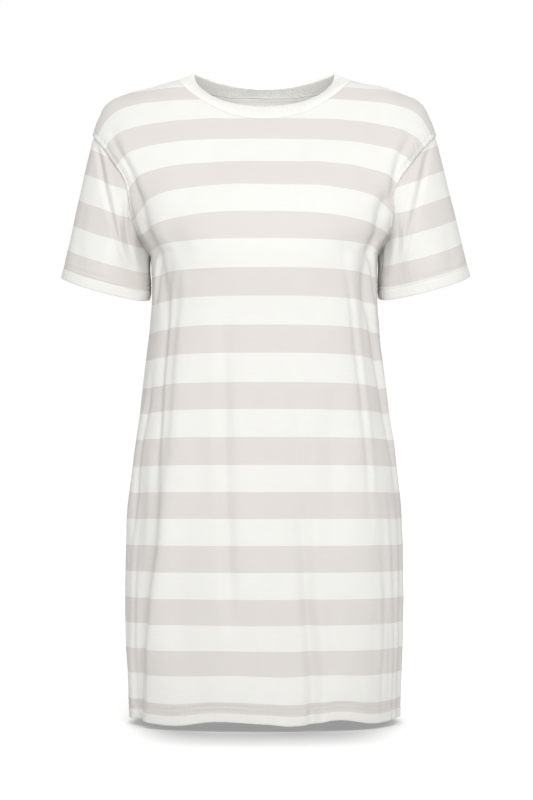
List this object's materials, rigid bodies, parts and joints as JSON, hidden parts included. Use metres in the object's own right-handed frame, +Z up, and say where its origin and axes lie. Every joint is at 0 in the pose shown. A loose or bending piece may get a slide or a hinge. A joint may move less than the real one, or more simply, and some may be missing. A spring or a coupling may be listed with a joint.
{
  "type": "t-shirt dress",
  "caption": "Knee-length t-shirt dress, filled out as worn: hollow body, short sleeves and round neckband, open at neck, cuffs and hem, with soft drape folds.",
  "frame": {"origin": "midway between the two shoulder seams at the height of the shoulders' tops beside the neck, where the wearer's shoulders hold the dress up", "axes": "+Z up, the front faces -Y, the wearer's left sleeve is at +X"},
  "size_m": [0.5416, 0.2578, 0.8574],
  "materials": {
    "jersey": "soft matt single jersey, wide even stripes of off-white and pale warm grey",
    "rib": "soft matt 1x1 rib knit, off-white"
  },
  "bodies": {
    "root": {"front": "jersey", "back": "jersey", "sleeve_left": "jersey", "sleeve_right": "jersey", "neckband": "rib"}
  },
  "joints": []
}
